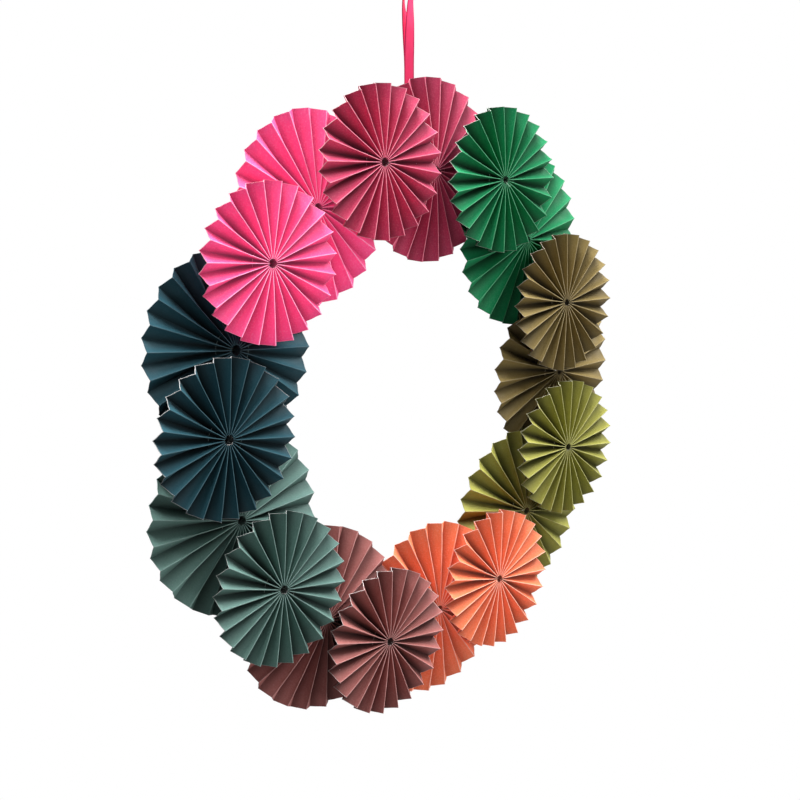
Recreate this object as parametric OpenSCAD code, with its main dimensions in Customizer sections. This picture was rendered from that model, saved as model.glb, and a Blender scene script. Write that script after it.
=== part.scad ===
// Paper flower wreath: nine large and nine small pleated paper rosettes on a ring of card,
// hung by a narrow ribbon. The front faces -Y and the origin is the inside top of the
// ribbon's loop, the point that it hangs from.

/* [Large rosettes] */
// Radius of a large rosette, the free width of its paper strip
large_radius = 57.5; // [53:0.5:60]
// Pleats round a large rosette
large_pleats = 24; // [22:1:26]
// Width of one panel of a large rosette, from fold to fold
large_panel = 10; // [9.5:0.25:12]
// How far the hole of a large rosette stands in front of its rim
large_dome = 2.5; // [0:0.5:4]

/* [Small rosettes] */
// Radius of a small rosette
small_radius = 46.5; // [42:0.5:50]
// Pleats round a small rosette
small_pleats = 23; // [20:1:26]
// Width of one panel of a small rosette, from fold to fold
small_panel = 11; // [10:0.25:13]
// How far the rim of a small rosette stands in front of its hole
small_dish = 2.5; // [0:0.5:4]

/* [Paper] */
// Thickness of the folded paper
paper_t = 0.3; // [0.2:0.02:0.36]
// Slack in each layer where the folds are packed round a hole
pack_slack = 0.03; // [0.02:0.01:0.1]

/* [Wreath] */
// How far two neighbouring large rosettes overlap, along the line between their centres
overlap = 15.8; // [14:0.2:18]
// How much farther out the small rosettes' centres lie
small_out = 6; // [0:1:10]
// Angle by which every rosette's outer side is turned back
outer_tilt = 1.3; // [0:0.1:2]
// Turn of the first large rosette from upright
wreath_turn = 9; // [0:1:20]
// Depth left between two large rosettes whose pleats interleave
nest_gap = 0.9; // [0.5:0.1:1.2]
// Depth left between a small rosette and the folds that it rests on
rest_gap = 0.3; // [0.1:0.1:0.8]

/* [Card ring] */
// Width of the card ring's band
card_w = 22; // [16:1:22]
// Thickness of the card ring
card_t = 2; // [1:0.25:2]
// Depth left between the card ring and the folds glued to it
seat_gap = 0.3; // [0.1:0.1:0.8]

/* [Ribbon] */
// Width of the ribbon
ribbon_w = 6; // [4:0.5:7]
// Thickness of the ribbon
ribbon_t = 0.5; // [0.3:0.05:0.5]
// From the top of the loop down to the middle of the card ring's band
hang_length = 135; // [134:1:136]
// How far the ribbon hangs to the right of the wreath's centre
ribbon_side = 14; // [10:1:16]

/* [Hidden] */

// Clockwise from the top: the colour of each pair of rosettes, the angle from upright at which
// the small one has a ridge, and how far it was set down from its even place: [clockwise,
// outward], as the small ones were placed by eye
PAPERS = [
    [[0.78, 0.28, 0.40], 6, [-2, 2]],
    [[0.12, 0.58, 0.33], 12, [0, 4.5]],
    [[0.52, 0.43, 0.25], 13, [1.5, -3]],
    [[0.55, 0.58, 0.22], 1, [0, 0.5]],
    [[0.92, 0.46, 0.29], 15, [3, -2]],
    [[0.54, 0.30, 0.29], 0, [4, 0]],
    [[0.35, 0.50, 0.46], 1, [2, -2.5]],
    [[0.13, 0.30, 0.38], 2, [2, 0.5]],
    [[0.94, 0.32, 0.53], 8, [0, 1]]
];
card_colour = [0.80, 0.74, 0.64];
ribbon_colour = [0.98, 0.26, 0.43];
step = 360 / len(PAPERS);

// The circles that the centres of the large and the small rosettes lie on
ring_radius = (large_radius - overlap / 2) / sin(step / 2);
small_ring = ring_radius + small_out;
set_back = tan(outer_tilt);
centre = [-ribbon_side, 0, -hang_length - ring_radius];
$fn = 120;

// A rosette is one strip folded to and fro. Its folds run outwards, ridge and valley by turns,
// and its panels keep their width, so the pleats are deepest at the hole.
function across(pleats, r) = 2 * r * sin(90 / pleats);
function pleat_depth(pleats, panel, r) = sqrt(panel * panel - pow(across(pleats, r), 2));

// Depth of the open groove on one face: what the slanting paper leaves of the pleat's depth
function groove(pleats, panel, r) =
    let (c = across(pleats, r), h = pleat_depth(pleats, panel, r), t = paper_t)
    c * (h * c - t * sqrt(c * c + h * h - t * t)) / (c * c - t * t);

// Round the hole the layers lie packed together. The folds have one knee, half-way out.
function hole_radius(pleats) = (paper_t + pack_slack) / across(pleats, 1);

// A kind of rosette: radius, pleats, panel, dome, radii of its rings of fold points, and at
// each of them its pleat depth and its groove
function kind(radius, pleats, panel, dome) =
    let (radii = [hole_radius(pleats), radius / 2, radius]) [
        radius, pleats, panel, dome, radii,
        [for (r = radii) [r, pleat_depth(pleats, panel, r)]],
        [for (r = radii) [r, groove(pleats, panel, r)]]
    ];
LARGE = kind(large_radius, large_pleats, large_panel, large_dome);
SMALL = kind(small_radius, small_pleats, small_panel, -small_dish);

// Depth behind the front of the hole, at radius r, of the middle of the pleats, and of the
// ridges and valleys as they are seen from the front and from the back
function middle(k, r) = k[2] / 2 + k[3] * r / k[0];
function front_ridge(k, r) = middle(k, r) - lookup(r, k[5]) / 2;
function back_ridge(k, r) = middle(k, r) + lookup(r, k[5]) / 2;
function front_valley(k, r) = front_ridge(k, r) + lookup(r, k[6]);
function back_valley(k, r) = back_ridge(k, r) - lookup(r, k[6]);

// Each panel twists from the hole to the rim. Between two rings of fold points it is a pair
// of triangles that meet from the valley on the inner ring to the ridge on the outer one.
// Here a point [clockwise, outward] is a share m along its ridge and n along its valley.
function panel_depth(k, m, n, back) =
    let (
        i = m + n > k[4][1] ? 1 : 0,
        r = k[4][i],
        s = k[4][i + 1],
        ridge = back ? [back_valley(k, r), back_valley(k, s)] : [front_ridge(k, r), front_ridge(k, s)],
        valley = back ? [back_ridge(k, r), back_ridge(k, s)] : [front_valley(k, r), front_valley(k, s)],
        outer = m / s + n / r > 1,
        slope = outer ? (valley[1] - valley[0]) / (s - r) : (ridge[1] - ridge[0]) / (s - r),
        start = outer ? valley[0] - slope * r : ridge[0] - slope * r
    )
    outer
        ? start + slope * n + (ridge[1] - start) / s * m
        : start + slope * m + (valley[0] - start) / r * n;
function face_depth(k, turn, p, back) =
    let (
        fold = 180 / k[1],
        q = (atan2(p[0], p[1]) - turn) / fold,
        part = q - floor(q),
        before = norm(p) * sin((1 - part) * fold) / sin(fold),
        after = norm(p) * sin(part * fold) / sin(fold)
    )
    abs(floor(q)) % 2 == 0 ? panel_depth(k, before, after, back) : panel_depth(k, after, before, back);
function front_face(k, turn, p) = face_depth(k, turn, p, false);
function back_face(k, turn, p) = face_depth(k, turn, p, true);

// A direction at an angle clockwise from upright, and a point of the wreath's plane as seen
// from a large rosette whose own radius has that angle: [clockwise, outward]
function towards(angle) = [sin(angle), cos(angle)];
function seen_from(angle, p) =
    let (d = p - ring_radius * towards(angle))
    [d[0] * cos(angle) - d[1] * sin(angle), d * towards(angle)];

// Neighbouring large rosettes overlap. Each has a ridge on its own radius, so that the pleats
// of a pair interleave, and each leans so that its clockwise side slips behind the next one.
// lean is the rise of that slope, the least that leaves nest_gap over the whole overlap.
lens_x = large_radius - ring_radius * sin(step / 2);
lens_z = sqrt(max(0, pow(large_radius, 2) - pow(ring_radius * sin(step / 2), 2)));
lens_grid = [
    for (x = [-lens_x : 0.5 : lens_x])
    for (z = [-lens_z : 0.5 : lens_z])
    let (
        p = [x, z + ring_radius * cos(step / 2)],
        a = seen_from(-step / 2, p),
        b = seen_from(step / 2, p)
    )
    if (norm(a) < large_radius && norm(b) < large_radius) [a, b]
];
lean = max([0, for (s = lens_grid)
    (nest_gap + back_face(LARGE, 0, s[1]) - front_face(LARGE, 0, s[0])
        + (s[1][1] - s[0][1]) * set_back) / (s[0][0] - s[1][0])]);

// The large rosettes' back ridges rest on the card ring where they cross its band
ridge_steps = 16;
crossings = [
    for (i = [0 : large_pleats - 1])
    for (s = [1 : ridge_steps])
    let (
        r = large_radius * s / ridge_steps,
        p = r * towards((i + 0.5) * 360 / large_pleats),
        from_centre = norm(p + [0, ring_radius])
    )
    if (abs(from_centre - ring_radius) <= card_w / 2)
        back_ridge(LARGE, r) + p[0] * lean + p[1] * set_back
];
large_y = -card_t / 2 - seat_gap - max(crossings);

// A small rosette rests on the two large ones behind it, where its back ridges cross their
// front ridges or where the tip of a ridge meets a panel. Both are seen with the small
// rosette's even place upright above the wreath's centre, and spot is where its hole is.
function ridge_crossings(turn, spot, side) = [
    for (i = [0 : small_pleats - 1])
    for (j = [0 : large_pleats - 1])
    let (
        own = towards(turn + (i + 0.5) * 360 / small_pleats),
        bearing = j * 360 / large_pleats,
        other = towards(side + bearing),
        gap = ring_radius * towards(side) - spot,
        a = cross(gap, other) / cross(own, other),
        b = cross(gap, own) / cross(own, other)
    )
    if (a > 0 && a <= small_radius && b > 0 && b <= large_radius)
        front_ridge(LARGE, b) + b * towards(bearing) * [lean, set_back]
            - back_ridge(SMALL, a) - a * own[1] * set_back
];
function small_tips(turn, spot, side) = [
    for (i = [0 : small_pleats - 1])
    let (
        out = small_radius * towards(turn + (i + 0.5) * 360 / small_pleats),
        p = seen_from(side, spot + out)
    )
    if (norm(p) <= large_radius)
        front_face(LARGE, 0, p) + p * [lean, set_back]
            - back_ridge(SMALL, small_radius) - out[1] * set_back
];
function large_tips(turn, spot, side) = [
    for (j = [0 : large_pleats - 1])
    let (
        bearing = j * 360 / large_pleats,
        out = large_radius * towards(bearing),
        p = ring_radius * towards(side) + large_radius * towards(side + bearing) - spot
    )
    if (norm(p) <= small_radius)
        front_ridge(LARGE, large_radius) + out * [lean, set_back]
            - back_face(SMALL, turn, p) - p[1] * set_back
];
function small_y(turn, spot) = large_y - rest_gap + min([
    for (side = [-step / 2, step / 2])
    each concat(
        ridge_crossings(turn, spot, side), small_tips(turn, spot, side), large_tips(turn, spot, side)
    )
]);

// A four-sided face as two triangles that meet from its corner s to the opposite one
function halves(q, s) = [[q[s], q[s + 1], q[s + 2]], [q[s], q[s + 2], q[(s + 3) % 4]]];

// A folded strip: its fold points in rings, first all those of the front, then the back
module rosette(k, turn, slope) {
    folds = 2 * k[1];
    rings = len(k[4]);
    points = [
        for (back = [false, true])
        for (i = [0 : rings - 1])
        for (j = [0 : folds - 1])
        let (
            r = k[4][i],
            p = r * towards(turn + j * 360 / folds),
            valley = j % 2 == 1,
            y = back
                ? (valley ? back_ridge(k, r) : back_valley(k, r))
                : (valley ? front_valley(k, r) : front_ridge(k, r))
        ) [p[0], y + p * [slope, set_back], p[1]]
    ];
    function at(back, i, j) = (back * rings + i) * folds + j % folds;
    faces = [
        for (j = [0 : folds - 1])
        each [
            for (i = [0 : rings - 2])
            each concat(
                halves([at(0, i, j), at(0, i + 1, j), at(0, i + 1, j + 1), at(0, i, j + 1)], (j + 1) % 2),
                halves([at(1, i, j), at(1, i, j + 1), at(1, i + 1, j + 1), at(1, i + 1, j)], (j + 1) % 2)
            ),
            [at(0, rings - 1, j), at(1, rings - 1, j), at(1, rings - 1, j + 1), at(0, rings - 1, j + 1)],
            [at(0, 0, j), at(0, 0, j + 1), at(1, 0, j + 1), at(1, 0, j)]
        ]
    ];
    polyhedron(points, faces, convexity = folds);
}

module large_rosette(n) {
    color(PAPERS[n][0])
        translate(centre)
            rotate([0, wreath_turn + n * step, 0])
                translate([0, large_y, ring_radius])
                    rosette(LARGE, 0, lean);
}

module small_rosette(n) {
    bearing = wreath_turn + (n - 0.5) * step;
    turn = PAPERS[n][1] - bearing;
    spot = [0, small_ring] + PAPERS[n][2];
    color(PAPERS[n][0])
        translate(centre)
            rotate([0, bearing, 0])
                translate([spot[0], small_y(turn, spot), spot[1]])
                    rosette(SMALL, turn, 0);
}

module backing_ring() {
    color(card_colour)
        translate(centre)
            rotate([90, 0, 0])
                difference() {
                    cylinder(r = ring_radius + card_w / 2, h = card_t, center = true);
                    cylinder(r = ring_radius - card_w / 2, h = card_t + 1, center = true);
                }
}

// The ribbon's route: x, y, z and the turn of its width away from X. It starts behind the card
// ring, runs under its inner edge, up in front of it, round the loop and down again, and ends
// lapped over its own start.
route = [
    [0, 1.6, -139, 0], [0, 1.6, -143, 0], [0, 1.6, -146.5, 0], [0, 1.4, -147.5, 0],
    [0, 0, -147.8, 0], [0, -1.4, -147.5, 0], [0, -1.6, -146.5, 0], [0, -1.6, -138, 0],
    [0, -1.5, -120, 0], [0, -1.5, -90, 0], [0, -1.5, -75, 2], [0.1, -1.5, -60, 4],
    [0.3, -1.7, -48, 7], [0.6, -2, -35, 12], [0.9, -2.1, -30, 18], [1.2, -2.2, -26, 25],
    [1.7, -2.1, -22, 34], [2.2, -1.8, -18, 45], [2.6, -1.4, -14.5, 57], [2.9, -0.8, -11, 70],
    [3.1, -0.3, -8.5, 81], [3.25, 0, -6, 90], [3.25, 0, -3, 90], [2.8, 0, -1.4, 90],
    [1.6, 0, -0.2, 90], [0, 0, 0.25, 90], [-1.6, 0, -0.2, 90], [-2.8, 0, -1.4, 90],
    [-3.25, 0, -3, 90], [-3.25, 0, -6, 90], [-3.2, 0.4, -8.5, 83], [-3, 0.9, -11, 75],
    [-2.8, 1.4, -14.5, 65], [-2.6, 1.8, -18, 55], [-2.1, 2, -22, 47], [-1.6, 2.2, -26, 40],
    [-1.3, 2.2, -30, 34], [-1, 2.2, -35, 29], [-0.5, 2, -48, 17], [-0.2, 1.7, -60, 9],
    [0, 1.5, -75, 4], [0, 1.5, -90, 0], [0, 1.55, -118, 0], [0, 1.65, -131, 0],
    [0, 2.25, -137, 0], [0, 2.25, -145.5, 0]
];
ribbon_section = let (w = ribbon_w / 2, t = ribbon_t / 2, e = 0.15, f = 0.1) [
    [-w, -t + f], [-w + e, -t], [w - e, -t], [w, -t + f],
    [w, t - f], [w - e, t], [-w + e, t], [-w, t - f]
];
function spot(i) = [for (c = [0 : 2]) route[max(0, min(i, len(route) - 1))][c]];
function unit(v) = v / norm(v);

module hanging_ribbon() {
    sides = len(ribbon_section);
    stops = len(route);
    points = [
        for (i = [0 : stops - 1])
        let (
            along = unit(spot(i + 1) - spot(i - 1)),
            flat = [cos(route[i][3]), sin(route[i][3]), 0],
            width = unit(flat - (flat * along) * along),
            through = cross(along, width)
        )
        for (s = ribbon_section) spot(i) + s[0] * width + s[1] * through
    ];
    sleeve = [
        for (i = [0 : stops - 2])
        for (s = [0 : sides - 1])
        let (next = (s + 1) % sides)
        each halves(
            [i * sides + s, (i + 1) * sides + s, (i + 1) * sides + next, i * sides + next],
            s < sides / 2 ? 0 : 1
        )
    ];
    ends = [
        [for (s = [0 : sides - 1]) s],
        [for (s = [sides - 1 : -1 : 0]) (stops - 1) * sides + s]
    ];
    color(ribbon_colour) polyhedron(points, concat(sleeve, ends), convexity = 8);
}

large_rosette(0);  // large_rosette_raspberry
large_rosette(1);  // large_rosette_green
large_rosette(2);  // large_rosette_khaki
large_rosette(3);  // large_rosette_olive
large_rosette(4);  // large_rosette_orange
large_rosette(5);  // large_rosette_maroon
large_rosette(6);  // large_rosette_sage
large_rosette(7);  // large_rosette_petrol
large_rosette(8);  // large_rosette_pink
small_rosette(0);  // small_rosette_raspberry
small_rosette(1);  // small_rosette_green
small_rosette(2);  // small_rosette_khaki
small_rosette(3);  // small_rosette_olive
small_rosette(4);  // small_rosette_orange
small_rosette(5);  // small_rosette_maroon
small_rosette(6);  // small_rosette_sage
small_rosette(7);  // small_rosette_petrol
small_rosette(8);  // small_rosette_pink
backing_ring();
hanging_ribbon();
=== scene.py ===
"""Paper flower wreath: folded paper rosettes, their threads, a ribbon and a ring of card."""
import math
from collections import namedtuple

import bpy
import numpy as np
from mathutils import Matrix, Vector


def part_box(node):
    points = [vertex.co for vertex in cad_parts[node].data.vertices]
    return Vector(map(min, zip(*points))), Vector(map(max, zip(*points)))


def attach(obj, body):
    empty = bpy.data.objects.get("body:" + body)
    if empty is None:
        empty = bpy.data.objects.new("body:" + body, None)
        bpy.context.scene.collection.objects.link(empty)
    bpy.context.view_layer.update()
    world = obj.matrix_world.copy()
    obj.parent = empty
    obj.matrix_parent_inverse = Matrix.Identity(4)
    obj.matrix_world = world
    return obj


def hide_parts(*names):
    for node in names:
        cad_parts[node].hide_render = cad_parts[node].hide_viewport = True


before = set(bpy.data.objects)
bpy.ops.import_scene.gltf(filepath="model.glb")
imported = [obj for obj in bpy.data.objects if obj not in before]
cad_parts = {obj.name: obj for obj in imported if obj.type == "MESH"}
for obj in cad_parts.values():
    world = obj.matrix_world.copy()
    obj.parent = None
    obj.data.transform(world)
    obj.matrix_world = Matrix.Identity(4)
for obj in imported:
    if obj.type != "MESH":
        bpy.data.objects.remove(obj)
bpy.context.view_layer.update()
MM = 0.001

# ---------------------------------------------------------------- sizes, as in part.scad (mm)
STEP = 40.0
WREATH_TURN = 9.0
LARGE = {"radius": 57.5, "pleats": 24, "panel": 10.0, "dome": 2.5, "lean": 0.05544}
SMALL = {"radius": 46.5, "pleats": 23, "panel": 11.0, "dome": -2.5, "lean": 0.0}
SET_BACK = math.tan(math.radians(1.3))
OVERLAP = 15.8
RING_RADIUS = (LARGE["radius"] - OVERLAP / 2) / math.sin(math.radians(STEP / 2))
SMALL_RING = RING_RADIUS + 6
HANG_LENGTH = 135.0
RIBBON_SIDE = 14.0
RIBBON_WIDTH = 6.0
RIBBON_T = 0.5
CENTRE = np.array([-RIBBON_SIDE, 0.0, -HANG_LENGTH - RING_RADIUS])
PAPER_T = 0.3
PACK_SLACK = 0.03

# ---------------------------------------------------------------- papers
# small_gain: how much lighter the small rosette's colour is. pale_large, pale_small: how pale
# their cut edges are. first_ridge: the angle from upright at which the small one has a ridge.
# shift: how far the small one lies from its even place, clockwise and outward in mm.
# glow: how strongly the paper glows, a painted light that keeps its colour strong in the shade.
Paper = namedtuple("Paper", "name rgb small_gain glow pale_large pale_small first_ridge shift")
PAPERS = [
    Paper("raspberry", (204, 71, 107), 1.25, 0.08, 0.3, 0.75, 6, (-2, 2)),
    Paper("green", (24, 150, 94), 1.0, 0.0, 0.15, 0.75, 12, (0, 4.5)),
    Paper("khaki", (148, 128, 76), 1.0, 0.0, 0.25, 0.5, 13, (1.5, -3)),
    Paper("olive", (172, 170, 80), 1.0, 0.0, 0.35, 0.5, 1, (0, 0.5)),
    Paper("orange", (252, 136, 92), 1.08, 0.21, 0.4, 0.6, 15, (3, -2)),
    Paper("maroon", (176, 108, 103), 1.05, 0.0, 0.25, 0.85, 0, (4, 0)),
    Paper("sage", (108, 143, 135), 1.0, 0.0, 0.15, 0.65, 1, (2, -2.5)),
    Paper("petrol", (38, 82, 94), 1.0, 0.0, 0.05, 0.85, 2, (2, 0.5)),
    Paper("pink", (255, 93, 151), 1.0, 0.36, 0.5, 0.6, 8, (0, 1)),
]

# The radius of a rosette's hole in mm. Some strips are gathered less tightly than they can be.
TIGHT_HOLE = 2.45
LOOSE_HOLES = {"raspberry": 2.75, "maroon": 2.6, "sage": 2.8, "petrol": 3.0, "pink": 2.75}

# linear colours, with alpha
BLACK = (0.0, 0.0, 0.0, 1.0)
WHITE = (1.0, 1.0, 1.0, 1.0)
# near-black towards which the painted shade in the valleys is mixed
VALLEY_SHADE_BLACK = (0.025, 0.025, 0.025, 1.0)
PAPER_CORE = (0.9, 0.88, 0.86, 1.0)
PACKED_CORE = (0.95, 0.92, 0.9, 1.0)
FLOOR_GREY = (0.25, 0.25, 0.25, 1.0)
# the painted glow's colour as a share of the dye's: it is a little redder, so the lifted shade
# is redder
PAINTED_GLOW_TINT = (1.0, 0.72, 0.9)


def linear(rgb):
    """sRGB 0 to 255 to linear 0 to 1, with alpha."""
    out = []
    for v in rgb:
        v /= 255.0
        out.append(v / 12.92 if v <= 0.04045 else ((v + 0.055) / 1.055) ** 2.4)
    return (*out, 1.0)


def mixed(a, b, t):
    return tuple(x + (y - x) * t for x, y in zip(a, b))


def tinted(base, amount):
    """A paler tint of a linear colour, in step with how light that colour is."""
    return (*(min(1.0, v + amount * max(base[:3])) for v in base[:3]), 1.0)


# ---------------------------------------------------------------- camera
def make_camera():
    """The photo's camera, as it was fitted to the centres of the eighteen rosettes."""
    data = bpy.data.cameras.new("photo_camera")
    data.sensor_width = 36.0
    data.lens = 70.6
    data.clip_end = 50.0
    cam = bpy.data.objects.new("photo_camera", data)
    bpy.context.scene.collection.objects.link(cam)
    cam.location = Vector((CENTRE + np.array([-678.6, -706.1, 182.1])) * MM)
    forward = Vector((0.68406, 0.70589, -0.18379))
    cam.rotation_euler = forward.to_track_quat("-Z", "Y").to_euler()
    bpy.context.scene.camera = cam


make_camera()


# ---------------------------------------------------------------- mesh helpers
def new_object(name, verts, faces, uvs=None, smooth=True):
    """A mesh object from points in metres; uvs is one pair per face corner."""
    mesh = bpy.data.meshes.new(name)
    mesh.from_pydata([tuple(v) for v in verts], [], faces)
    if uvs is not None:
        layer = mesh.uv_layers.new(name="UVMap")
        layer.data.foreach_set("uv", np.asarray(uvs, dtype=np.float32).ravel())
    mesh.polygons.foreach_set("use_smooth", [smooth] * len(mesh.polygons))
    mesh.validate()
    mesh.update()
    obj = bpy.data.objects.new(name, mesh)
    bpy.context.scene.collection.objects.link(obj)
    return obj


def turned(points, bearing):
    """Points of a rosette's own frame turned clockwise from upright by bearing, in degrees."""
    c, s = math.cos(math.radians(bearing)), math.sin(math.radians(bearing))
    x, y, z = points[:, 0], points[:, 1], points[:, 2]
    return np.stack([x * c + z * s, y, -x * s + z * c], axis=1)


def in_wreath(points, place, bearing):
    """Points of a rosette's own frame in mm, as points of the shared frame in metres."""
    return (turned(points + place, bearing) + CENTRE) * MM


# ---------------------------------------------------------------- node helpers
class Nodes:
    """A short way to write a node tree.

    A value given to one of its functions is a constant or the socket that it comes from.
    """

    def __init__(self, owner, output="ShaderNodeOutputMaterial"):
        owner.use_nodes = True
        self.tree = owner.node_tree
        self.tree.nodes.clear()
        self.out = self.tree.nodes.new(output)

    def add(self, kind, inputs=None, **props):
        node = self.tree.nodes.new(kind)
        for key, value in props.items():
            setattr(node, key, value)
        for key, value in (inputs or {}).items():
            if isinstance(value, bpy.types.NodeSocket):
                self.tree.links.new(value, node.inputs[key])
            else:
                node.inputs[key].default_value = value
        return node

    def place(self):
        return self.add("ShaderNodeTexCoord").outputs["Object"]

    def shifted_place(self, shift):
        node = self.add("ShaderNodeMapping", {"Vector": self.place(), "Location": shift})
        return node.outputs[0]

    def uv(self):
        whole = self.add("ShaderNodeTexCoord").outputs["UV"]
        split = self.add("ShaderNodeSeparateXYZ", {0: whole})
        return split.outputs[0], split.outputs[1]

    def math(self, op, a, b=0.0):
        return self.add("ShaderNodeMath", {0: a, 1: b}, operation=op).outputs[0]

    def vector(self, op, a, b=(0.0, 0.0, 0.0)):
        return self.add("ShaderNodeVectorMath", {0: a, 1: b}, operation=op).outputs[0]

    def wave(self, value, rate):
        """A sine wave between 0 and 1."""
        sine = self.math("SINE", self.math("MULTIPLY", value, rate))
        return self.math("ADD", self.math("MULTIPLY", sine, 0.5), 0.5)

    def mix(self, fac, a, b):
        return self.add("ShaderNodeMix", {0: fac, 6: a, 7: b}, data_type="RGBA").outputs[2]

    def ramp(self, value, low, high, out_low=0.0, out_high=1.0):
        node = self.add(
            "ShaderNodeMapRange",
            {0: value, 1: low, 2: high, 3: out_low, 4: out_high},
            interpolation_type="SMOOTHSTEP",
        )
        return node.outputs[0]

    def noise(self, vector, scale, detail=2.0, roughness=0.5):
        node = self.add(
            "ShaderNodeTexNoise",
            {"Vector": vector, "Scale": scale, "Detail": detail, "Roughness": roughness},
        )
        return node.outputs[0]

    def bump(self, height, strength, distance, **more):
        inputs = {"Height": height, "Strength": strength, "Distance": distance, **more}
        return self.add("ShaderNodeBump", inputs).outputs[0]

    def finish(self, shader):
        self.tree.links.new(shader.outputs[0], self.out.inputs[0])


def new_material(name):
    mat = bpy.data.materials.new(name)
    return mat, Nodes(mat)


def finish_surface(n, colour, roughness, normal, **more):
    """End a material's tree with a Principled surface; specular and emission are in more."""
    names = {
        "specular": "Specular IOR Level",
        "glow_colour": "Emission Color",
        "glow": "Emission Strength",
    }
    inputs = {"Base Color": colour, "Roughness": roughness, "Normal": normal}
    inputs.update((names[key], value) for key, value in more.items())
    n.finish(n.add("ShaderNodeBsdfPrincipled", inputs))


# ---------------------------------------------------------------- paper materials
def paper_material(name, base, kind, pale, glow, seed):
    """Dyed paper: faint mottling, fibres, folds lightened by wear and a painted highlight, a
    paler cut rim that is partly painted highlight, and painted shade in the valleys.

    The glow is painted light, which keeps the colour strong in the shade.
    """
    mat, n = new_material("paper_" + name)
    where = n.shifted_place((seed, 0.3 * seed, 0.7))
    # in mm, from the nearer ridge and from the rosette's centre
    from_ridge, from_centre = n.uv()

    pale_and_highlight = tinted(base, 0.32)
    colour = n.mix(n.ramp(n.noise(where, 70.0, 3.0), 0.32, 0.68), mixed(base, BLACK, 0.08), base)
    fibre = n.noise(where, 950.0, 3.0, 0.75)
    colour = n.mix(n.ramp(fibre, 0.48, 0.8, 0.0, 0.42), colour, pale_and_highlight)
    colour = n.mix(n.ramp(fibre, 0.5, 0.22, 0.0, 0.35), colour, mixed(base, BLACK, 0.5))

    # painted shade: the colour darkens towards each valley, less on glowing papers, and most in
    # the narrow grooves near the centre
    valley_shade = mixed(base, VALLEY_SHADE_BLACK, 0.85)
    most_valley_shade = (0.52 if kind is LARGE else 0.68) * (1 - 1.6 * glow)
    colour = n.mix(n.ramp(from_ridge, -1.0, kind["panel"], 0.0, most_valley_shade), colour, valley_shade)
    groove_width = n.math("ADD", n.math("MULTIPLY", from_centre, 0.13), 0.4)
    narrow = n.ramp(n.math("DIVIDE", from_ridge, groove_width), 0.3, 3.0, 0.0, 0.8)
    colour = n.mix(narrow, colour, valley_shade)

    # a few specks of lint
    cells = n.add("ShaderNodeTexVoronoi", {"Vector": where, "Scale": 150.0}).outputs
    draw = n.add("ShaderNodeSeparateColor", {0: cells["Color"]}).outputs[0]
    speck = n.ramp(cells["Distance"], 0.06, 0.035, 0.0, 0.6)
    lint = n.math("MULTIPLY", speck, n.math("GREATER_THAN", draw, 0.9))
    colour = n.mix(lint, colour, tinted(base, 1.2))

    # each fold is lighter, partly from wear and partly as a painted highlight, more in some
    # places than in others, and so is the rim
    fold_variation = n.ramp(n.noise(where, 260.0, 3.0), 0.25, 0.7, 0.6, 1.0)
    fold = n.math("MULTIPLY", n.ramp(from_ridge, 0.7, 0.25), fold_variation)
    colour = n.mix(fold, colour, pale_and_highlight)
    # the front face's outer strip at the rim is paler: partly the paper's cut core, partly a
    # painted highlight
    rim = n.ramp(from_centre, kind["radius"] - 0.35, kind["radius"] - 0.1)
    colour = n.mix(n.math("MULTIPLY", rim, 0.55 * pale), colour, mixed(base, PAPER_CORE, pale))

    grain = n.math("MULTIPLY", n.noise(where, 900.0, 4.0, 0.65), 0.35)
    height = n.math("ADD", grain, n.noise(where, 60.0, 2.0))
    finish_surface(
        n, colour,
        roughness=n.ramp(n.noise(where, 120.0, 2.0), 0.3, 0.7, 0.56, 0.7),
        normal=n.bump(height, 0.22, 0.0006),
        specular=0.16,
        # the emission is painted light that lifts the colour in the shade
        glow_colour=n.vector("MULTIPLY", colour, PAINTED_GLOW_TINT),
        glow=glow,
    )
    return mat


def edge_material(name, base, pale, seed):
    """The cut edge of the same paper: its pale core shows, with painted shade down in the hole.
    """
    mat, n = new_material("paper_edge_" + name)
    where = n.shifted_place((seed, 0.1, 0.2))
    from_ridge, from_centre = n.uv()
    dyed = n.ramp(n.noise(where, 700.0, 3.0), 0.3, 0.7, 0.0, 0.4)
    colour = n.mix(dyed, mixed(base, PAPER_CORE, pale), base)

    # round the hole the ridges' ends are pale, and the rest has painted shade
    inner = n.math("LESS_THAN", from_centre, 5.0)
    packed = mixed(base, PACKED_CORE, 0.9)
    colour = n.mix(n.math("MULTIPLY", inner, pale), colour, packed)
    painted_hole_shade = n.math("MULTIPLY", inner, n.ramp(from_ridge, 1.6, 3.0))
    colour = n.mix(painted_hole_shade, colour, mixed(base, BLACK, 0.93))

    # its loose fibres stand out on all sides, so it catches the light from above and in front
    normal = n.add("ShaderNodeNewGeometry").outputs["Normal"]
    frayed = n.vector("NORMALIZE", n.vector("ADD", normal, (0.0, -0.9, 1.2)))
    finish_surface(
        n, colour,
        roughness=0.85,
        normal=n.bump(n.noise(where, 2500.0, 3.0), 0.4, 0.0003, Normal=frayed),
        specular=0.25,
    )
    return mat


def thread_material(name, rgb):
    mat, n = new_material("thread_" + name)
    base = linear(rgb)
    twist = n.noise(n.place(), 2600.0, 2.0)
    colour = n.mix(n.ramp(twist, 0.35, 0.65), mixed(base, BLACK, 0.35), base)
    finish_surface(n, colour, roughness=0.6, normal=n.bump(twist, 0.5, 0.0002))
    return mat


# ---------------------------------------------------------------- rosettes
def across(kind, r):
    """The straight distance between two neighbouring folds at radius r, seen from the front."""
    return 2 * r * math.sin(math.radians(90 / kind["pleats"]))


def depth(kind, r):
    """The depth of a pleat at radius r."""
    return math.sqrt(kind["panel"] ** 2 - across(kind, r) ** 2)


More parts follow.
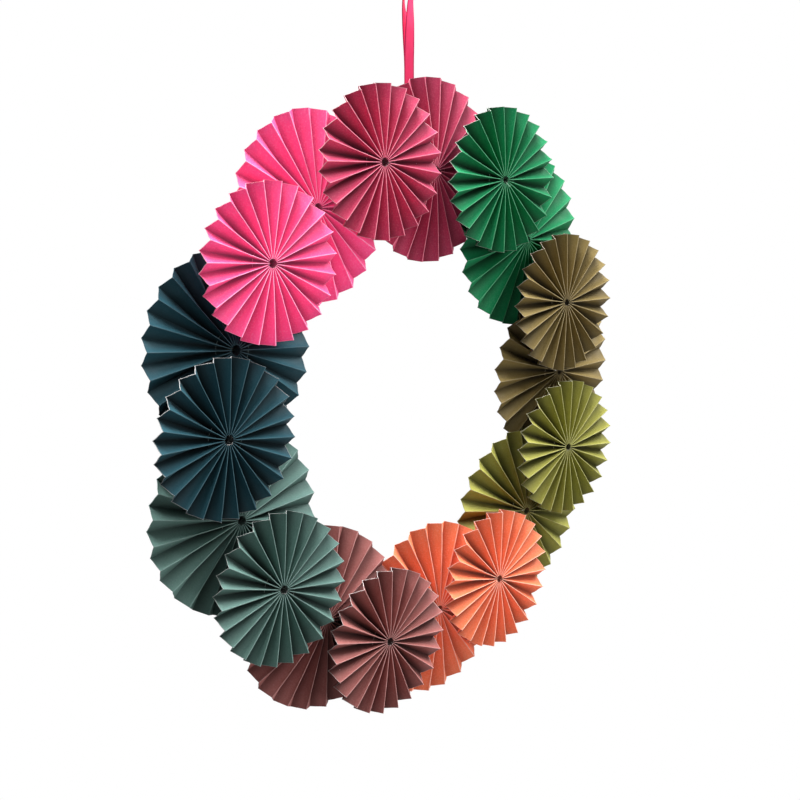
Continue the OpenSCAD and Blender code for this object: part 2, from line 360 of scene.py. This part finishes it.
def groove(kind, r):
    """The depth of the open groove on one face: what the slanting paper leaves of the pleat."""
    c, h, t = across(kind, r), depth(kind, r), PAPER_T
    return c * (h * c - t * math.sqrt(c * c + h * h - t * t)) / (c * c - t * t)


def fold_depth(kind, r, valley, back):
    """Depth of a fold line at radius r behind the front of the hole."""
    y = kind["panel"] / 2 + kind["dome"] * r / kind["radius"]
    if back:
        return y + depth(kind, r) / 2 - (0.0 if valley else groove(kind, r))
    return y - depth(kind, r) / 2 + (groove(kind, r) if valley else 0.0)


def foremost(kind, turn):
    """The depth of the CAD rosette's foremost point in its own frame."""
    hole = (PAPER_T + PACK_SLACK) / across(kind, 1.0)
    least = []
    for r in (hole, kind["radius"] / 2, kind["radius"]):
        for k in range(kind["pleats"]):
            a = math.radians(turn + k * 360 / kind["pleats"])
            slope = kind["lean"] * math.sin(a) + SET_BACK * math.cos(a)
            least.append(fold_depth(kind, r, False, False) + r * slope)
    return min(least)


# Radii of a rosette's rings of points, between its hole and its rim, in mm
RINGS = [
    3.6, 5.0, 7.0, 10.0, 13.5, 17.5, 21.5, 25.5, 29.5, 33.5, 37.5, 41.5, 45.5, 49.5, 53.0,
]
# Shares of a panel's width at which it has points. The outermost are the edges of its folds.
SHARES = [0.0, 0.025, 0.07, 0.18, 0.34, 0.5, 0.66, 0.82, 0.93, 0.975, 1.0]
FOLD_SHARE = 0.05

# What the folding by hand leaves, in degrees and mm, and how much each panel bends, as a
# share of its depth
ANGLE_SLIP = 0.42
DEPTH_SLIP = 0.16
RIM_SLIP = 0.35
LEAST_BEND, MOST_BEND = 0.024, 0.05

# The outside of a fold is a narrow bead: its width in mm, the most it takes of the distance
# between two folds, and its slope as a share of the panel's. The crown is its height in mm.
BEAD_WIDTH = 0.2
BEAD_SHARE = 0.26
BEAD_SLOPE = 0.2
CROWN = 0.09


def panel_point(kind, r, start, end, share, from_valley, back, bend):
    """A point of a panel, a share of the way from the fold point start to the one at end."""
    w = 1 - share if from_valley else share
    # w is 0 on the ridge and 1 in the valley. The fold that stands out is the ridge on the
    # front and the valley on the back, and its bead catches the light.
    outer = 1 - w if back else w
    spread = drop = outer
    if 0.0 < outer < FOLD_SHARE:
        bead = min(BEAD_WIDTH, BEAD_SHARE * across(kind, r))
        spread = max(outer, bead / across(kind, r))
        drop *= BEAD_SLOPE
    if back:
        spread, drop = 1 - spread, 1 - drop
    if from_valley:
        spread, drop = 1 - spread, 1 - drop
    x = start[0] + (end[0] - start[0]) * spread
    y = start[1] + (end[1] - start[1]) * drop
    z = start[2] + (end[2] - start[2]) * spread
    # a panel is steep at both folds and flatter between
    y += abs(end[1] - start[1]) * bend * math.sin(2 * math.pi * w)
    # a fold is a tight curve, not a knife edge
    crown = CROWN * min(1.0, r / 12)
    if w < FOLD_SHARE:
        y += crown * (1 - w / FOLD_SHARE)
    elif w > 1 - FOLD_SHARE:
        y -= crown * (1 - (1 - w) / FOLD_SHARE)
    return x, y + x * kind["lean"] + z * SET_BACK, z


def rosette_mesh(kind, turn, hole, rng):
    """Points, faces, corner uvs and face kinds (0 paper, 1 cut edge) of one pleated rosette.

    Each panel twists evenly from the hole to the rim and bends a little between its folds, as
    card does when its folds are opened further than they want to go. Its uv is the distance
    from the nearer ridge and from the centre, in mm.
    """
    radius, panel = kind["radius"], kind["panel"]
    radii = [hole, *(r for r in RINGS if r < radius - 2.5), radius - 0.9, radius]
    folds = 2 * kind["pleats"]
    half = math.pi / kind["pleats"]
    last = len(radii) - 1
    steps = len(SHARES) - 1

    angle_slip = rng.uniform(-1, 1, folds) * math.radians(ANGLE_SLIP)
    depth_slip = rng.uniform(-1, 1, folds) * DEPTH_SLIP
    rim_slip = rng.uniform(-RIM_SLIP, 0.0, folds)
    bend = rng.uniform(LEAST_BEND, MOST_BEND, folds)

    def fold_point(r, outward, k, back):
        """The point at radius r on fold k; outward is 0 at the hole and 1 at the rim."""
        slip = k % folds
        theta = turn + k * half + angle_slip[slip] * outward ** 0.5
        rr = r + rim_slip[slip] * outward ** 6
        y = fold_depth(kind, r, k % 2 == 1, back) + depth_slip[slip] * outward
        return rr * math.sin(theta), y, rr * math.cos(theta)

    verts = []
    for back in (False, True):
        for r in radii:
            outward = (r - hole) / (radius - hole)
            for j in range(folds):
                start = fold_point(r, outward, j, back)
                end = fold_point(r, outward, j + 1, back)
                bent = bend[j] * min(1, outward * 1.5)
                for share in SHARES[:-1]:
                    verts.append(panel_point(kind, r, start, end, share, j % 2 == 1, back, bent))

    def at(back, i, j, s):
        """Index of a point. The last one of a panel is the first one of the next panel."""
        if s == steps:
            j, s = (j + 1) % folds, 0
        return ((back * len(radii) + i) * folds + j) * steps + s

    def uv_of(back, i, j, s):
        from_ridge = (SHARES[s] if j % 2 == 0 else 1 - SHARES[s]) * panel
        return (panel - from_ridge if back else from_ridge, radii[i])

    faces, uvs, kinds = [], [], []

    def add_face(corners, cut):
        faces.append([at(*corner) for corner in corners])
        # a cut edge is coloured as the front face is
        uvs.extend(uv_of(0 if cut else corner[0], *corner[1:]) for corner in corners)
        kinds.append(1 if cut else 0)

    for j in range(folds):
        for s in range(steps):
            for i in range(last):
                ring = [(i, j, s), (i + 1, j, s), (i + 1, j, s + 1), (i, j, s + 1)]
                add_face([(0, *corner) for corner in ring], False)
                add_face([(1, *corner) for corner in reversed(ring)], False)
            rim = [(0, last, j, s), (1, last, j, s), (1, last, j, s + 1), (0, last, j, s + 1)]
            add_face(rim, True)
            inside = [(0, 0, j, s), (0, 0, j, s + 1), (1, 0, j, s + 1), (1, 0, j, s)]
            add_face(inside, True)
    return np.array(verts), faces, uvs, kinds


def make_rosette(name, kind, bearing, turn, hole, place, mats, seed):
    rng = np.random.default_rng(seed)
    verts, faces, uvs, kinds = rosette_mesh(kind, math.radians(turn), hole, rng)
    obj = new_object("paper_" + name, in_wreath(verts, place, bearing), faces, uvs)
    for mat in mats:
        obj.data.materials.append(mat)
    obj.data.polygons.foreach_set("material_index", kinds)
    obj.data.set_sharp_from_angle(angle=math.radians(48))
    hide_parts(name)
    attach(obj, "root")


def make_thread(name, kind, bearing, place, mat):
    """The thread that runs through all the pleats of a rosette, round its hole."""
    around, sides = 96, 6
    tube, loop, behind_front = 0.13, 11.6, 3.9
    verts, faces = [], []
    for i in range(around):
        a = 2 * math.pi * i / around
        for k in range(sides):
            b = 2 * math.pi * k / sides
            r = loop + tube * math.cos(b)
            x, z = r * math.sin(a), r * math.cos(a)
            y = behind_front + tube * math.sin(b) + x * kind["lean"] + z * SET_BACK
            verts.append((x, y, z))
    for i in range(around):
        for k in range(sides):
            i2, k2 = (i + 1) % around, (k + 1) % sides
            faces.append([i * sides + k, i * sides + k2, i2 * sides + k2, i2 * sides + k])
    obj = new_object("thread_" + name, in_wreath(np.array(verts), place, bearing), faces)
    obj.data.materials.append(mat)
    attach(obj, "root")


def make_sliver(name, bearing, place, mat):
    """A curled sliver of torn paper that sticks out of a rosette's hole."""
    # x, y, z and half the width, in a frame that is upright at the hole
    path = [
        (0.9, 0.6, -1.6, 0.1), (1.4, -0.5, -2.6, 0.15), (2.1, -0.9, -3.7, 0.2),
        (2.8, -0.9, -4.7, 0.22), (3.3, -1.1, -4.2, 0.16), (3.6, -1.3, -3.3, 0.06),
    ]
    verts, faces = [], []
    for i, (x, y, z, half) in enumerate(path):
        for dx, dy in ((-half, 0.06), (half, 0.0), (half, 0.12), (-half, 0.18)):
            verts.append((x + dx, y + dy, z + 0.4 * dx))
        if i:
            a, b = 4 * (i - 1), 4 * i
            faces += [[a + k, a + (k + 1) % 4, b + (k + 1) % 4, b + k] for k in range(4)]
    faces += [[3, 2, 1, 0], [len(verts) - 4 + k for k in range(4)]]
    upright = turned(np.array(verts), -bearing)
    obj = new_object(name, in_wreath(upright, place, bearing), faces, smooth=False)
    obj.data.materials.append(mat)
    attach(obj, "root")


# ---------------------------------------------------------------- ribbon
# x, y, z and the turn of its width away from X. It starts behind the card ring, runs under the
# ring's inner edge, up in front of it, round the loop and down again, and ends lapped over its
# own start.
ROUTE = [
    (0, 1.6, -139, 0), (0, 1.6, -143, 0), (0, 1.6, -146.5, 0), (0, 1.4, -147.5, 0),
    (0, 0, -147.8, 0), (0, -1.4, -147.5, 0), (0, -1.6, -146.5, 0), (0, -1.6, -138, 0),
    (0, -1.5, -120, -2), (-0.4, -1, -105, -15), (-0.9, -0.6, -92, -34), (-1, -0.5, -80, -44),
    (-1, -0.5, -71, -44), (-0.9, -0.6, -63, -40), (-0.8, -0.7, -55, -28), (-0.7, -0.9, -46, -12),
    (-0.6, -1, -38, 6), (-0.2, -1.2, -30, 22), (0.8, -1.2, -22, 40), (2.1, -1, -15, 57),
    (2.9, -0.6, -11, 70), (3.1, -0.3, -8.5, 81), (3.25, 0, -6, 90), (3.25, 0, -3, 90),
    (2.8, 0, -1.4, 90), (1.6, 0, -0.2, 90), (0, 0, 0.25, 90), (-1.6, 0, -0.2, 90),
    (-2.8, 0, -1.4, 90), (-3.25, 0, -3, 90), (-3.25, 0, -6, 90), (-3.3, 0.4, -8.5, 83),
    (-3.3, 0.9, -11, 76), (-3.3, 1.5, -16, 66), (-3.1, 2.3, -26, 46), (-2.6, 2.7, -38, 28),
    (-1.8, 2.2, -46, 8), (-1, 1.4, -55, -16), (-0.4, 0.9, -63, -36), (-0.1, 0.6, -71, -44),
    (0, 0.5, -80, -44), (0, 0.7, -92, -34), (0, 1.2, -105, -15), (0, 1.5, -118, -2),
    (0, 1.65, -131, 0), (0, 2.25, -137, 0), (0, 2.25, -145.5, 0),
]


def smooth_route(route, per_mm=1.4):
    """The route's points and turns, filled in between by a centripetal curve."""
    pts = np.array(route, dtype=float)
    last = len(pts) - 1
    out = []
    for i in range(last):
        p = [pts[max(0, min(last, i + d))] for d in (-1, 0, 1, 2)]
        if i == 0:
            p[0] = 2 * p[1] - p[2]
        if i == last - 1:
            p[3] = 2 * p[2] - p[1]
        knots = [0.0]
        for a, b in zip(p, p[1:]):
            knots.append(knots[-1] + max(np.linalg.norm((b - a)[:3]), 1e-6) ** 0.5)

        def between(a, b, i0, i1, t):
            whole = knots[i1] - knots[i0]
            return (knots[i1] - t) / whole * a + (t - knots[i0]) / whole * b

        steps = max(2, int(np.linalg.norm((p[2] - p[1])[:3]) * per_mm))
        for k in range(steps):
            t = knots[1] + (knots[2] - knots[1]) * k / steps
            a1 = between(p[0], p[1], 0, 1, t)
            a2 = between(p[1], p[2], 1, 2, t)
            a3 = between(p[2], p[3], 2, 3, t)
            b1 = between(a1, a2, 0, 2, t)
            b2 = between(a2, a3, 1, 3, t)
            out.append(between(b1, b2, 1, 2, t))
    out.append(pts[-1])
    return np.array(out)


def ribbon_material():
    """Woven satin ribbon: fine ribs across it, streaks along it and a darker, tighter edge."""
    mat, n = new_material("ribbon_satin")
    # in mm, from the ribbon's middle and from its start
    side, run = n.uv()
    ribs, warp = n.wave(run, 12.0), n.wave(side, 28.0)
    edge = n.ramp(n.math("ABSOLUTE", side), 2.15, 2.5)

    base = linear((244, 62, 108))
    colour = n.mix(n.ramp(ribs, 0.2, 0.9), mixed(base, (0.4, 0.0, 0.08, 1), 0.2), base)
    stretched = {0: side, 1: n.math("MULTIPLY", run, 0.08)}
    lengthwise = n.add("ShaderNodeCombineXYZ", stretched).outputs[0]
    streaks = n.ramp(n.noise(lengthwise, 2.2, 3.0), 0.45, 0.72, 0.0, 0.4)
    colour = n.mix(streaks, colour, linear((205, 70, 108)))
    clouds = n.ramp(n.noise(n.place(), 90.0, 2.0), 0.3, 0.7, 0.0, 0.16)
    colour = n.mix(clouds, colour, linear((255, 92, 134)))
    colour = n.mix(n.math("MULTIPLY", edge, 0.8), colour, linear((150, 26, 66)))

    weave = n.math("ADD", ribs, n.math("MULTIPLY", warp, 0.4))
    height = n.math("ADD", weave, n.math("MULTIPLY", edge, 0.8))
    finish_surface(
        n, colour,
        roughness=0.5,
        normal=n.bump(height, 0.3, 0.00012),
        specular=0.14,
        # the emission is a painted glow that keeps the ribbon bright in the shade
        glow_colour=colour,
        glow=0.54,
    )
    return mat


def make_ribbon():
    route = smooth_route(ROUTE)
    pts = route[:, :3]
    tangent = np.gradient(pts, axis=0)
    tangent /= np.linalg.norm(tangent, axis=1)[:, None]
    run = np.concatenate([[0], np.cumsum(np.linalg.norm(np.diff(pts, axis=0), axis=1))])

    # its section: thin at both sides, thicker in the selvages than between them
    w, t, dip = RIBBON_WIDTH / 2, RIBBON_T / 2, 0.03
    section = [(-w, -0.07), (-w + 0.12, -t + 0.04), (-w + 0.45, -t), (-1.5, -t + dip)]
    section.append((0, -t + dip))
    section += [(-x, y) for x, y in reversed(section[:4])]
    section += [(-x, -y) for x, y in section]
    sides = len(section)
    verts, faces, uvs = [], [], []
    for i, p in enumerate(pts):
        turn = math.radians(route[i, 3])
        flat = np.array([math.cos(turn), math.sin(turn), 0.0])
        width = flat - flat.dot(tangent[i]) * tangent[i]
        width /= np.linalg.norm(width)
        through = np.cross(tangent[i], width)
        for a, b in section:
            verts.append((p + a * width + b * through) * MM)

    def add_face(corners):
        """A face from its corners, each as a place along the route and one in the section."""
        faces.append([i * sides + k for i, k in corners])
        uvs.extend((section[k][0], run[i]) for i, k in corners)

    last = len(pts) - 1
    for i in range(last):
        for k in range(sides):
            k2 = (k + 1) % sides
            add_face([(i, k), (i + 1, k), (i + 1, k2), (i, k2)])
    add_face([(0, k) for k in range(sides)])
    add_face([(last, k) for k in reversed(range(sides))])

    obj = new_object("ribbon_loop", verts, faces, uvs)
    obj.data.set_sharp_from_angle(angle=math.radians(60))
    obj.data.materials.append(ribbon_material())
    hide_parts("hanging_ribbon")
    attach(obj, "root")


make_ribbon()

# ---------------------------------------------------------------- the eighteen rosettes
for number, paper in enumerate(PAPERS):
    for size, kind in (("large", LARGE), ("small", SMALL)):
        big = size == "large"
        pale = paper.pale_large if big else paper.pale_small
        name = f"{size}_rosette_{paper.name}"
        gain = 1.0 if big else paper.small_gain
        base = (*(min(1.0, v * gain) for v in linear(paper.rgb)[:3]), 1.0)

        bearing = WREATH_TURN + (number if big else number - 0.5) * STEP
        turn = 0.0 if big else paper.first_ridge - bearing
        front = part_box(name)[0][1] / MM - foremost(kind, turn)
        aside, out = (0, RING_RADIUS) if big else (paper.shift[0], SMALL_RING + paper.shift[1])
        place = np.array([aside, front, out])

        label = f"{size}_{paper.name}"
        mats = [
            paper_material(label, base, kind, pale, paper.glow, 3.1 * number + 1.7),
            edge_material(label, base, pale, 2.3 * number),
        ]
        hole = LOOSE_HOLES.get(paper.name, TIGHT_HOLE)
        make_rosette(name, kind, bearing, turn, hole, place, mats, 100 * number + 2 - big)
        thread = thread_material(label, mixed(paper.rgb, (235, 228, 215), 0.55))
        make_thread(label, kind, bearing, place, thread)
        if name == "small_rosette_green":
            make_sliver("sliver_green", bearing, place, thread)


# ---------------------------------------------------------------- card ring
def card_material():
    mat, n = new_material("grey_card")
    where = n.place()
    base = linear((168, 152, 126))
    fleck = n.noise(where, 1100.0, 4.0, 0.7)
    cloud = n.noise(where, 45.0, 3.0)
    colour = n.mix(n.ramp(cloud, 0.3, 0.7), mixed(base, BLACK, 0.14), mixed(base, WHITE, 0.08))
    colour = n.mix(n.ramp(fleck, 0.6, 0.75, 0.0, 0.6), colour, linear((92, 78, 60)))
    colour = n.mix(n.ramp(fleck, 0.38, 0.25, 0.0, 0.5), colour, linear((212, 202, 180)))
    finish_surface(
        n, colour,
        roughness=n.ramp(cloud, 0.3, 0.7, 0.8, 0.92),
        normal=n.bump(fleck, 0.3, 0.0004),
        specular=0.25,
    )
    return mat


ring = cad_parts["backing_ring"]
ring.data.materials.clear()
ring.data.materials.append(card_material())


# ---------------------------------------------------------------- stage and light
# How bright the white surroundings are as a light, where 1 is how bright they are seen to be
AMBIENT = 0.12


def seen_rays(n):
    """1 for the rays by which the camera, glass or metal sees a surface."""
    rays = n.add("ShaderNodeLightPath").outputs
    glassy = n.math("MAXIMUM", rays["Is Glossy Ray"], rays["Is Transmission Ray"])
    return n.math("MAXIMUM", rays["Is Camera Ray"], glassy)


def white_glow(n, seen):
    """The strength of the plain white surroundings: full where they are seen."""
    return n.add("ShaderNodeMapRange", {0: seen, 3: AMBIENT, 4: 1.0}).outputs[0]


def make_floor():
    """A white floor: it keeps the wreath's shadow near it, and farther out it is plain white."""
    size, low = 12.0, -1.25
    verts = [(-size, -size, low), (size, -size, low), (size, size, low), (-size, size, low)]
    obj = new_object("floor", verts, [[0, 1, 2, 3]], smooth=False)
    mat, n = new_material("floor_white")
    seen = seen_rays(n)
    below_wreath = {0: n.place(), 1: (0, 0, low)}
    away = n.add("ShaderNodeVectorMath", below_wreath, operation="DISTANCE").outputs[1]
    diffuse = n.add("ShaderNodeBsdfDiffuse", {"Color": FLOOR_GREY})
    lift = n.add("ShaderNodeEmission", {"Strength": n.math("MULTIPLY", seen, 0.86)})
    near = n.add("ShaderNodeAddShader", {0: diffuse.outputs[0], 1: lift.outputs[0]})
    far = n.add("ShaderNodeEmission", {"Strength": white_glow(n, seen)})
    share = n.ramp(away, 0.8, 1.35)
    n.finish(n.add("ShaderNodeMixShader", {0: share, 1: near.outputs[0], 2: far.outputs[0]}))
    obj.data.materials.append(mat)


def make_world():
    world = bpy.data.worlds.new("studio")
    bpy.context.scene.world = world
    n = Nodes(world, "ShaderNodeOutputWorld")
    n.finish(n.add("ShaderNodeBackground", {0: WHITE, 1: white_glow(n, seen_rays(n))}))


def make_lamp(name, place, size, power):
    """A square lamp in metres and watts, aimed at the middle of the wreath."""
    data = bpy.data.lights.new(name, "AREA")
    data.shape = "SQUARE"
    data.size = size
    data.energy = power
    lamp = bpy.data.objects.new(name, data)
    bpy.context.scene.collection.objects.link(lamp)
    lamp.location = Vector(place)
    ahead = Vector(CENTRE * MM) - Vector(place)
    lamp.rotation_euler = ahead.to_track_quat("-Z", "Y").to_euler()


make_floor()
make_world()
make_lamp("above", (-0.7, 0.0, 3.66), 2.0, 222)
make_lamp("right", (2.3, -1.64, 2.56), 2.0, 232)
make_lamp("low", (1.98, -3.46, -0.6), 1.2, 50)

bpy.context.scene.view_settings.view_transform = "Standard"
